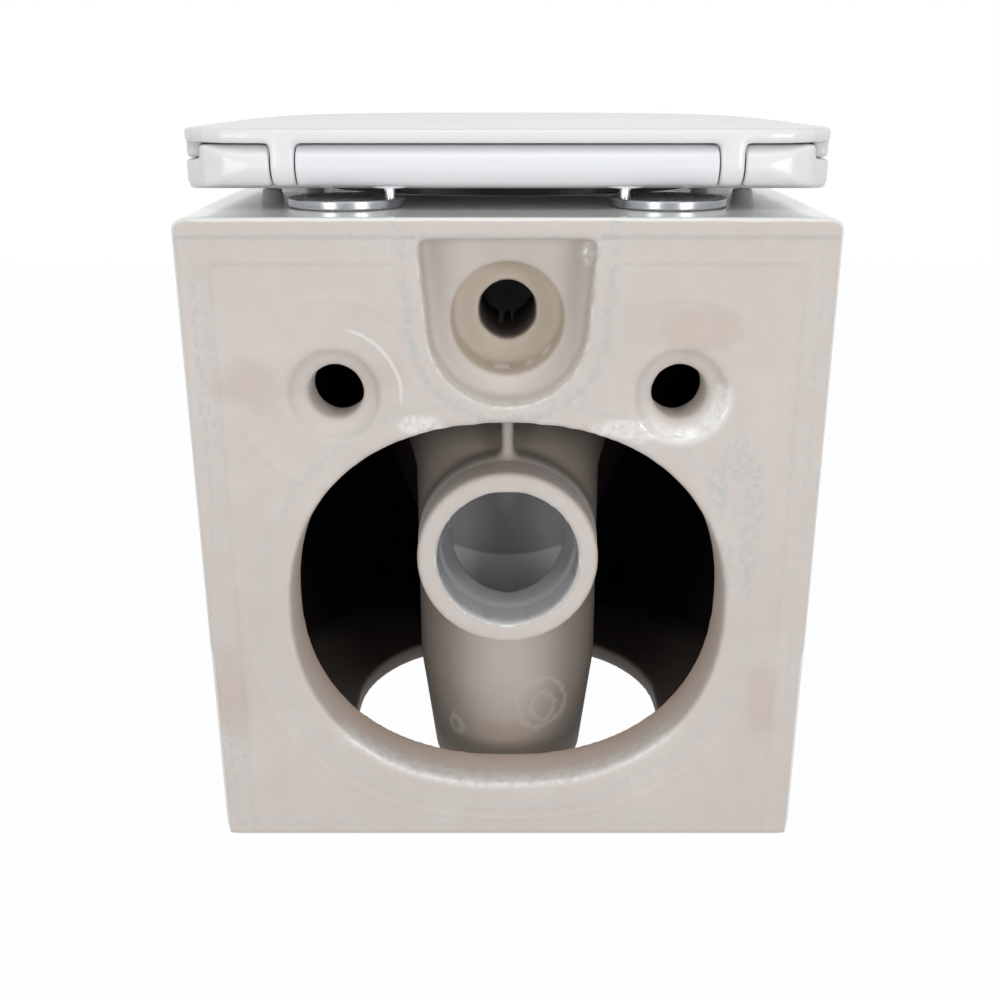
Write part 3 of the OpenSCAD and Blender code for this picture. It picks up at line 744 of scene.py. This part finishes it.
# %% [markdown]
# Glaze that strayed on the wall side lies in a thin strip under the rim, in smears, along the
# foot of the large opening and in the mouth of one bolt hole, where it is speckled. An arc
# beside one bolt and a line along the pocket's edge are painted highlights, drawn as white
# glaze. Each of them is a distance, held to its own area and broken by fine noise, because
# glaze that ran over bare clay dries with a ragged edge.

# %% Stray glaze and painted highlights
# The last tone on the next line is painted shade, the grey of the glaze inside the outlet bore
GLAZE, GLAZE_SPECK, WAY_SHADE = "eeeeec", "8c8480", "a5a4a9"
SMEARS = ((46, -16, 13, 6), (-59, -18, 15, 6), (-42, 70, 4, 8), (-70, -19, 10, 7))
DRIPS = ((2.5, 7, 5.5, 2.6), (-9.7, 9.5, 4.5, 2.6), (-21, 15, 2.6, 3.6), (-23, 25, 2.2, 2.4))


def stray_glaze(tree, at):
    """Masks of all the stray glaze, with two painted highlights, and of its speckled part."""
    uneven_top = plus(tree, at.top_gap, times(tree, at.wander, 0.12))
    strip = held(tree, at.wall_side, falls(tree, uneven_top, 1.2, 2))
    smear = held(
        tree,
        ovals(tree, at, SMEARS, at.grainy, (-4, 1.5)),
        rises(tree, at.y, -34, -30),
        ramp(tree, at.flecks, 0.3, 0.6, 0.25, 0.8),
    )
    foot_lip = held(
        tree,
        line(tree, plus(tree, at.opening, times(tree, at.wander, 0.3)), -1, 7),
        falls(tree, at.z, -205, -190),
        rises(tree, at.y, -16, -4),
        ramp(tree, at.flecks, 0.25, 0.6, 0.35, 0.85),
    )
    bolt_mouth = held(
        tree,
        line(tree, at.bolt, -1, 7),
        falls(tree, at.x, -80, -70),
        falls(tree, plus(tree, at.z, at.wander), -2, 6),
        ramp(tree, at.flecks, 0.2, 0.5, 0.6, 1.0),
    )
    # Painted highlight: a thin white arc round the upper inner side of the bolt at +X, drawn as
    # glaze
    highlight_arc = held(
        tree,
        line(tree, plus(tree, at.bolt, times(tree, at.grainy, 0.3)), 11.5, 1.6),
        falls(tree, at.x, 78, 84),
        rises(tree, at.x, 40, 44),
        rises(tree, at.z, -8, 2),
        0.6,
    )
    # Painted highlight: a thin white line along the pocket's edge, drawn as glaze
    pocket_edge_highlight = held(
        tree,
        line(tree, plus(tree, at.pocket, times(tree, at.grainy, 0.2)), 0.4, 1.8),
        rises(tree, at.y, -16, -6),
        falls(tree, at.z, 78, 79),
        ramp(tree, at.flecks, 0.3, 0.65, 0.2, 0.75),
    )
    drips = held(
        tree,
        ovals(tree, at, DRIPS, times(tree, at.grainy, 0.2), (-0.6, 0.6)),
        at.socket,
        rises(tree, at.y, -53, -50),
        falls(tree, at.y, -42, -39),
    )
    speckled = both(tree, foot_lip, bolt_mouth)
    return both(tree, strip, smear, speckled, highlight_arc, pocket_edge_highlight, drips), speckled


def glaze_colour(tree, at, speckled):
    specks = held(tree, at.specks, speckled, 0.6)
    glaze = blend(tree, specks, colour(GLAZE), colour(GLAZE_SPECK))
    # Painted shade: glaze inside the outlet bore, past its white mouth, is drawn grey
    bore_shade = held(
        tree,
        falls(tree, at.y, -30, -22),
        rises(tree, at.y, -150, -146),
        falls(tree, reach(tree, at.x, minus(tree, at.z, OUTLET_Z)), 43, 45),
        0.75,
    )
    return blend(tree, bore_shade, glaze, colour(WAY_SHADE))


print("smears and drips", len(SMEARS + DRIPS))

# %% [markdown]
# The mould leaves a groove under the rim, a panel line inside it, a collar round the pocket,
# rings round the bolts and two soft ribs round the large opening. All are shallower than half
# a millimetre. Cutting them into the mesh would need far more points, so they are drawn as
# height, and painted shade darkens the groove, the panel lines and the collar.

# %% Moulded lines
# Painted shade that darkens the groove, the panel lines and the collar
LINE_SHADE = "a7a6aa"
GROOVE_Z, PANEL_Z, PANEL_X = 79.8, 66.6, 149.5


def moulded_lines(tree, at):
    """Height of the moulded lines, and how much painted shade darkens them."""
    below_panel = falls(tree, at.z, 64, 67)
    groove = held(tree, line(tree, at.z, GROOVE_Z, 2.4), rises(tree, at.wide, 45, 48))
    panel_top = held(
        tree,
        line(tree, at.z, PANEL_Z, 2.2),
        rises(tree, at.wide, 55, 58),
        falls(tree, at.wide, 148, 151),
    )
    panel_side = held(tree, line(tree, at.wide, PANEL_X, 2.4), below_panel)
    collar = held(tree, line(tree, at.pocket, 9, 2.4), below_panel)
    sunk = line_shade = groove
    for mask, sink, shade in ((panel_top, 0.7, 0.6), (panel_side, 0.6, 0.4), (collar, 0.5, 0.35)):
        sunk = both(tree, sunk, times(tree, mask, sink))
        line_shade = both(tree, line_shade, times(tree, mask, shade))
    ring = times(tree, line(tree, at.bolt, 27, 3), 0.25)
    ribs = both(tree, line(tree, at.opening, 17, 5), line(tree, at.opening, 25, 3.5))
    ribs = held(tree, ribs, falls(tree, at.z, -100, -70), 0.3)
    relief = plus(tree, times(tree, sunk, -0.4), both(tree, ring, ribs))
    return held(tree, relief, at.wall_side), held(tree, line_shade, at.wall_side, 0.2)


print("groove", GROOVE_Z, "mm and panel", PANEL_Z, "mm above the bolts")

# %% The pan's material
CLAY_ROUGH, GLAZE_ROUGH = 0.72, 0.12
CLAY_GRAIN, GLAZE_GRAIN = 0.14, 0.03


def clay_and_glaze(tree, place):
    at = measure(tree, place)
    slip = dried_slip(tree, at)
    strays, speckled = stray_glaze(tree, at)
    sprayed = held(tree, ramp(tree, at.glazed, 0.35, 0.65), minus(tree, 1.0, at.wall_side))
    coat = both(tree, sprayed, strays)
    relief, line_shade = moulded_lines(tree, at)
    tone = blend(tree, coat, bare_clay(tree, at, slip), glaze_colour(tree, at, speckled))
    grain = use(tree, skin, {"Place": place, "Scale": 1400.0, "Waves": 90.0})
    thinner = times(tree, coat, CLAY_GRAIN - GLAZE_GRAIN)
    grain = times(tree, grain, minus(tree, CLAY_GRAIN, thinner))
    relief = plus(tree, relief, times(tree, both(tree, strays, slip), 0.25))
    height = plus(tree, relief, grain)
    return {
        # The moulded lines darken the colour with painted shade
        "Base Color": blend(tree, line_shade, tone, colour(LINE_SHADE)),
        "Roughness": ramp(tree, coat, 0.0, 1.0, CLAY_ROUGH, GLAZE_ROUGH),
        "Normal": bump(tree, height, 1 * MM, 0.7),
        "Coat Weight": times(tree, coat, 0.4),
    }


def place(mesh, name, body, slot, material, node):
    """A piece of the toilet: it rides on its body and stands for its node."""
    piece = bpy.data.objects.new(name, mesh)
    bpy.context.collection.objects.link(piece)
    mesh.materials.clear()
    mesh.materials.append(material)
    mesh.shade_smooth()
    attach(piece, body)
    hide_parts(node)


fired_clay = finish_material("clay_and_glaze", clay_and_glaze)
place(fired, "dressed_pan", "root", "vitreous_china", fired_clay, "ceramic_pan")
print("pan dressed")

# %% [markdown]
# ## Moulded plastic pieces
#
# The seat, the lid and the hinge housing are moulded: each edge has a small even radius, as
# from a mould that was milled with a round cutter. One helper does the same to any solid. It
# remeshes a copy finely, lets the points average out so that corners become round, thins it
# again, and keeps it inside the solid's own box.


def moulded(node, voxel, rounds, faces, slack=0.0):
    """A copy of a solid with soft edges: voxel size, target face count and, for a sliding
    piece, the room that it gives up at its sides and its top. Sizes are in millimetres."""
    mesh = remeshed(node, voxel * MM * (1))
    points, edges = arrays(mesh)
    points = soften(points, edges, rounds, SOFTENING)
    low, high = (np.array(corner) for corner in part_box(node))
    points = np.clip(points, low, high)
    fixed = np.array(((low[0] + high[0]) / 2, (low[1] + high[1]) / 2, low[2]))
    points = fixed + (points - fixed) * (1 - 2 * slack * MM / (high - low))
    move(mesh, points)
    result = thinned(mesh, faces, node + "_moulded")
    print(node, len(points), "points, then", len(result.polygons), "faces")
    return result


# %% White plastics
DUST = "b8b4b0"


def white_plastic(tone, shade, waves, gloss):
    def paint(tree, place):
        drift = use(tree, mottle, {"Place": place, "Scale": 6.0, "Strength": 1.2})
        dust = use(tree, speckle, {"Place": place, "Scale": 260.0, "Size": 0.06, "Share": 0.08})
        base = blend(tree, drift, colour(tone), colour(shade))
        base = blend(tree, times(tree, dust, 0.25), base, colour(DUST))
        height = use(tree, skin, {"Place": place, "Scale": 1500.0, "Waves": waves})
        return {
            "Base Color": base,
            "Roughness": ramp(tree, drift, 0.0, 1.0, gloss, gloss + 0.07),
            "Normal": bump(tree, height, 0.4 * MM, 0.12),
        }

    return paint


# Tone, shade, waves in each metre and roughness
PLASTICS = {
    "lid_plastic": ("f0eff0", "edecee", 30.0, 0.2),
    "seat_plastic": ("efeef0", "ebeaec", 30.0, 0.22),
    "housing_plastic": ("eef0f3", "e9ebee", 45.0, 0.3),
    "button_plastic": ("f1efec", "e9e6e2", 90.0, 0.35),
}
finishes = {}
for name, values in PLASTICS.items():
    finishes[name] = finish_material(name, white_plastic(*values))
print("plastics", list(finishes))

# %% Seat, lid and housing
# Piece, body, slot, finish and node, then the voxel, rounds and faces for the soft edges
LARGE_PIECES = (
    ("dressed_lid", "lid", "white_thermoset", "lid_plastic", "lid_panel", 1.3, 5, 60_000),
    ("dressed_seat", "seat", "white_thermoset", "seat_plastic", "seat_ring", 1.3, 5, 60_000),
    (
        "dressed_housing",
        "hinge_unit",
        "white_plastic",
        "housing_plastic",
        "hinge_housing",
        0.7,
        4,
        40_000,
    ),
)
for name, body, slot, finish, node, *sizes in LARGE_PIECES:
    place(moulded(node, *sizes), name, body, slot, finishes[finish], node)

# %% Collars and buttons
BUTTON_SLACK = 0.34

for side in ("left", "right"):
    node, finish = side + "_pin_collar", finishes["housing_plastic"]
    collar = moulded(node, 0.22, 3, 12_000)
    place(collar, side + "_dressed_collar", "hinge_unit", "white_nylon", finish, node)
    node, finish = side + "_release_button", finishes["button_plastic"]
    button = moulded(node, 0.2, 4, 4_000, BUTTON_SLACK)
    place(button, side + "_dressed_button", side + "_button", "white_nylon", finish, node)

# %% [markdown]
# ## Steel, chrome and the hidden fittings
#
# The discs are spun steel caps, brushed on a belt, and the pins in them are chromed. Brushing
# is noise that changes fast across the strokes and slowly along them; it drives both tone and
# roughness, which is what makes brushed metal glint in streaks. The fittings under the discs
# and in the hinge keep their exact solids and only get a finish, because their turned and
# pressed shapes are already right.


# %% Metals, rubber and grey plastic
def metal(tone, shade, along, smooth, rough):
    def paint(tree, place):
        strokes = use(tree, brushing, {"Place": place, "Along": along, "Scale": 60.0})
        drift = use(tree, mottle, {"Place": place, "Scale": 60.0, "Strength": 1.2})
        streaks = ramp(tree, strokes, 0.3, 0.7)
        base = blend(tree, streaks, colour(tone), colour(shade))
        base = blend(tree, times(tree, drift, 0.25), base, colour(shade))
        return {
            "Base Color": base,
            "Metallic": 1.0,
            "Roughness": ramp(tree, streaks, 0.0, 1.0, smooth, rough),
            "Normal": bump(tree, strokes, 0.05 * MM, 0.15),
        }

    return paint


def soft_matter(tone, shade, scale, rough):
    def paint(tree, place):
        drift = use(tree, mottle, {"Place": place, "Scale": scale, "Strength": 1.6})
        height = use(tree, skin, {"Place": place, "Scale": 2500.0, "Waves": 200.0})
        return {
            "Base Color": blend(tree, drift, colour(tone), colour(shade)),
            "Roughness": ramp(tree, drift, 0.0, 1.0, rough, rough + 0.15),
            "Normal": bump(tree, height, 0.1 * MM, 0.25),
        }

    return paint


# Tone, shade, strokes along x, y and z, and roughness between and in the strokes
METALS = {
    "brushed_steel": ("b9bbbe", "8d9093", (3, 3, 120), 0.2, 0.34),
    "chrome": ("d6d8db", "c2c5c9", (4, 4, 4), 0.05, 0.1),
    "zinc_steel": ("b4b7bb", "9a9ea3", (30, 30, 4), 0.28, 0.4),
    "spring_steel": ("9c9ea1", "808285", (10, 10, 10), 0.25, 0.4),
    "cast_zinc": ("9fa2a4", "868a8d", (40, 40, 40), 0.4, 0.6),
    "brass": ("c9a35c", "b08d49", (3, 3, 80), 0.22, 0.36),
}
# Tone, shade, scale of the drift and roughness
SOFT_FINISHES = {
    "black_rubber": ("1c1c1d", "29292a", 90.0, 0.6),
    "grey_rubber": ("6f7173", "5f6163", 90.0, 0.55),
    "clear_rubber": ("d9d8d4", "cbcac6", 60.0, 0.35),
    "grey_plastic": ("868a8e", "777b80", 70.0, 0.4),
}
for name, values in METALS.items():
    finishes[name] = finish_material(name, metal(*values))
for name, values in SOFT_FINISHES.items():
    finishes[name] = finish_material(name, soft_matter(*values))
print("finishes", list(finishes))

# %% Discs and pins
for side in ("left", "right"):
    node, finish = side + "_hinge_disc", finishes["brushed_steel"]
    disc = moulded(node, 0.4, 2, 30_000)
    place(disc, side + "_dressed_disc", "root", "stainless_steel", finish, node)
    node, finish = side + "_hinge_pin", finishes["chrome"]
    pin = moulded(node, 0.25, 2, 6_000)
    place(pin, side + "_dressed_pin", "root", "chrome_steel", finish, node)

# %% Finishes for the solids that stay
KEPT = {
    "disc_gasket": "grey_rubber",
    "base_plate": "cast_zinc",
    "fixing_stud": "zinc_steel",
    "rubber_bush": "black_rubber",
    "bush_nut": "brass",
    "pin_clip": "spring_steel",
    "damper": "grey_plastic",
    "spindle": "zinc_steel",
    "bumpers": "clear_rubber",
    "bushes": "grey_plastic",
}
for node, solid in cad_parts.items():
    for ending, finish in KEPT.items():
        if node.endswith(ending):
            for slot in solid.material_slots:
                slot.material = finishes[finish]
            print(node, "gets", finish)

# %% [markdown]
# ## Floor, light and background
#
# The picture has a plain white background. The floor and the world are white for the camera
# and for reflections, while the light that they throw on the object stays soft and moderate,
# so that white glaze keeps its tone. Three large soft lamps stand where a photographer would
# put them: two beside the camera and one overhead.

# %% Floor
FLOOR_Z = -0.75
FLOOR_REACH = 6
FLOOR_GLOW, GLOW_SHARE, FLOOR_TONE = 1.01, 0.96, 0.8


def looked_at(tree):
    """1 for rays that show the surface in the picture, 0 for those that gather its light."""
    ray = tree.nodes.new("ShaderNodeLightPath").outputs
    return both(tree, ray["Is Camera Ray"], ray["Is Glossy Ray"], ray["Is Transmission Ray"])


floor_mesh = bpy.data.meshes.new("floor")
floor_mesh.from_pydata(
    [(a * FLOOR_REACH, b * FLOOR_REACH, FLOOR_Z) for a, b in ((-1, -1), (1, -1), (1, 1), (-1, 1))],
    [],
    [(0, 1, 2, 3)],
)
floor = bpy.data.objects.new("floor", floor_mesh)
bpy.context.collection.objects.link(floor)
floor_paint = bpy.data.materials.new("pale_floor")
floor_paint.use_nodes = True
tree = floor_paint.node_tree
tree.nodes.clear()
glow = times(tree, looked_at(tree), GLOW_SHARE)
white = put(tree, "Emission", {"Color": (1, 1, 1, 1), "Strength": FLOOR_GLOW})
board = put(tree, "BsdfDiffuse", {"Color": (FLOOR_TONE, FLOOR_TONE, FLOOR_TONE, 1)})
shown = put(tree, "MixShader", {0: glow, 1: board, 2: white})
put(tree, "OutputMaterial", {"Surface": shown}, out=slice(0, 0))
floor_mesh.materials.append(floor_paint)
print("floor at", FLOOR_Z, "m")

# %% World
AMBIENT = 0.45

world = bpy.data.worlds.new("white_room")
bpy.context.scene.world = world
world.use_nodes = True
tree = world.node_tree
tree.nodes.clear()
level = plus(tree, times(tree, looked_at(tree), 1 - AMBIENT), AMBIENT)
sky = put(tree, "Background", {"Color": (1, 1, 1, 1), "Strength": level})
put(tree, "OutputWorld", {"Surface": sky}, out=slice(0, 0))
print("light from the room", AMBIENT)


# %% Lamps
# Name, place, target, diameter in metres and watts
LAMPS = (
    ("beside_left", (0.7, 1.15, 0.12), (0, 0, -0.1), 0.55, 3.7),
    ("beside_right", (-0.75, 1.15, 0.12), (0, 0, -0.1), 0.55, 5.1),
    ("overhead", (0, 0.5, 1.25), (0, -0.05, 0), 0.9, 4.6),
)


def lamp(name, location, target, size, watts):
    data = bpy.data.lights.new(name, "AREA")
    data.shape = "DISK"
    data.size = size
    data.energy = watts
    light = bpy.data.objects.new(name, data)
    light.location = location
    light.rotation_euler = (Vector(target) - Vector(location)).to_track_quat("-Z", "Y").to_euler()
    bpy.context.collection.objects.link(light)


for values in LAMPS:
    lamp(*values)
print("lamps", [light.name for light in bpy.data.lights])
